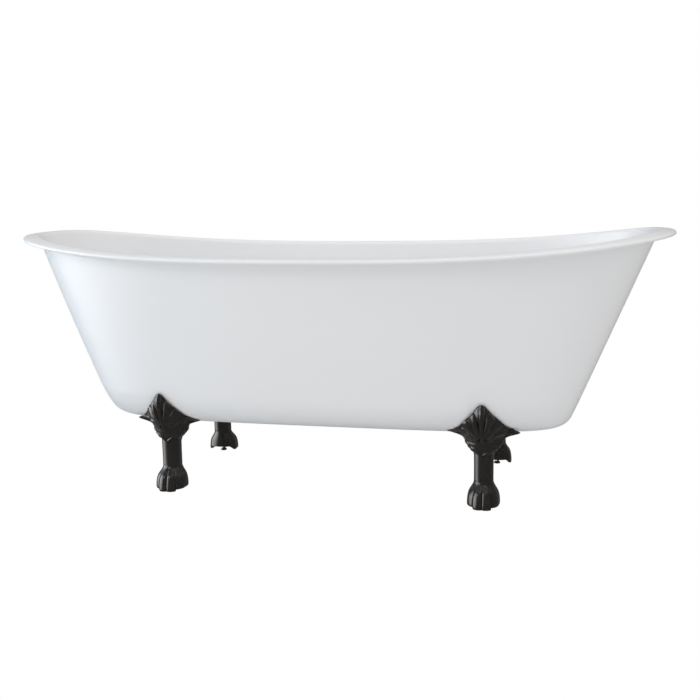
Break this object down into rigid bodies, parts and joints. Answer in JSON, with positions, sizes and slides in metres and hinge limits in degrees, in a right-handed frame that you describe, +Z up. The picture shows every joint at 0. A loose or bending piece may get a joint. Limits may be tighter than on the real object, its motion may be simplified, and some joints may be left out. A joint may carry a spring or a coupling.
{
  "type": "clawfoot bathtub",
  "caption": "Freestanding double-ended cast-iron bathtub with a rolled rim that sweeps up at both ends, on black claw feet with levelling pads",
  "frame": {"origin": "on the floor, under the middle of the tub", "axes": "+X along the tub, +Y across it to the side with the overflow hole, +Z up"},
  "size_m": [1.702, 0.762, 0.666],
  "materials": {
    "enamel": "gloss white enamel inside and over the rim, smooth white paint outside",
    "black_iron": "satin black",
    "zinc_steel": "zinc plated",
    "pad_plastic": "matt black moulded"
  },
  "bodies": {
    "tub": {"tub_casting": "enamel", "claw_foot_front_left": "black_iron", "claw_foot_front_right": "black_iron", "claw_foot_rear_left": "black_iron", "claw_foot_rear_right": "black_iron", "foot_bolt_front_left": "zinc_steel", "foot_bolt_front_right": "zinc_steel", "foot_bolt_rear_left": "zinc_steel", "foot_bolt_rear_right": "zinc_steel", "foot_washer_front_left": "zinc_steel", "foot_washer_front_right": "zinc_steel", "foot_washer_rear_left": "zinc_steel", "foot_washer_rear_right": "zinc_steel", "lock_nut_front_left": "zinc_steel", "lock_nut_front_right": "zinc_steel", "lock_nut_rear_left": "zinc_steel", "lock_nut_rear_right": "zinc_steel"},
    "pad_front_left": {"levelling_pad_front_left": "pad_plastic"},
    "bolt_front_left": {"levelling_bolt_front_left": "zinc_steel"},
    "pad_front_right": {"levelling_pad_front_right": "pad_plastic"},
    "bolt_front_right": {"levelling_bolt_front_right": "zinc_steel"},
    "pad_rear_left": {"levelling_pad_rear_left": "pad_plastic"},
    "bolt_rear_left": {"levelling_bolt_rear_left": "zinc_steel"},
    "pad_rear_right": {"levelling_pad_rear_right": "pad_plastic"},
    "bolt_rear_right": {"levelling_bolt_rear_right": "zinc_steel"}
  },
  "joints": [
    {"name": "level_slide_front_left", "type": "slide", "parent": "tub", "child": "pad_front_left", "axis": [0, 0, -1], "range_m": [0, 0.01]},
    {"name": "level_turn_front_left", "type": "hinge", "parent": "pad_front_left", "child": "bolt_front_left", "pos_m": [-0.409, -0.18956, 0.008], "axis": [0, 0, -1], "range_deg": [0, 2881]},
    {"name": "level_slide_front_right", "type": "slide", "parent": "tub", "child": "pad_front_right", "axis": [0, 0, -1], "range_m": [0, 0.01]},
    {"name": "level_turn_front_right", "type": "hinge", "parent": "pad_front_right", "child": "bolt_front_right", "pos_m": [0.409, -0.18956, 0.008], "axis": [0, 0, -1], "range_deg": [0, 2881]},
    {"name": "level_slide_rear_left", "type": "slide", "parent": "tub", "child": "pad_rear_left", "axis": [0, 0, -1], "range_m": [0, 0.01]},
    {"name": "level_turn_rear_left", "type": "hinge", "parent": "pad_rear_left", "child": "bolt_rear_left", "pos_m": [-0.409, 0.18956, 0.008], "axis": [0, 0, -1], "range_deg": [0, 2881]},
    {"name": "level_slide_rear_right", "type": "slide", "parent": "tub", "child": "pad_rear_right", "axis": [0, 0, -1], "range_m": [0, 0.01]},
    {"name": "level_turn_rear_right", "type": "hinge", "parent": "pad_rear_right", "child": "bolt_rear_right", "pos_m": [0.409, 0.18956, 0.008], "axis": [0, 0, -1], "range_deg": [0, 2881]}
  ],
  "couplings": [
    {"joint": "level_turn_front_left", "follows": "level_slide_front_left", "rad_per_m": 5026.5},
    {"joint": "level_turn_front_right", "follows": "level_slide_front_right", "rad_per_m": 5026.5},
    {"joint": "level_turn_rear_left", "follows": "level_slide_rear_left", "rad_per_m": 5026.5},
    {"joint": "level_turn_rear_right", "follows": "level_slide_rear_right", "rad_per_m": 5026.5}
  ]
}
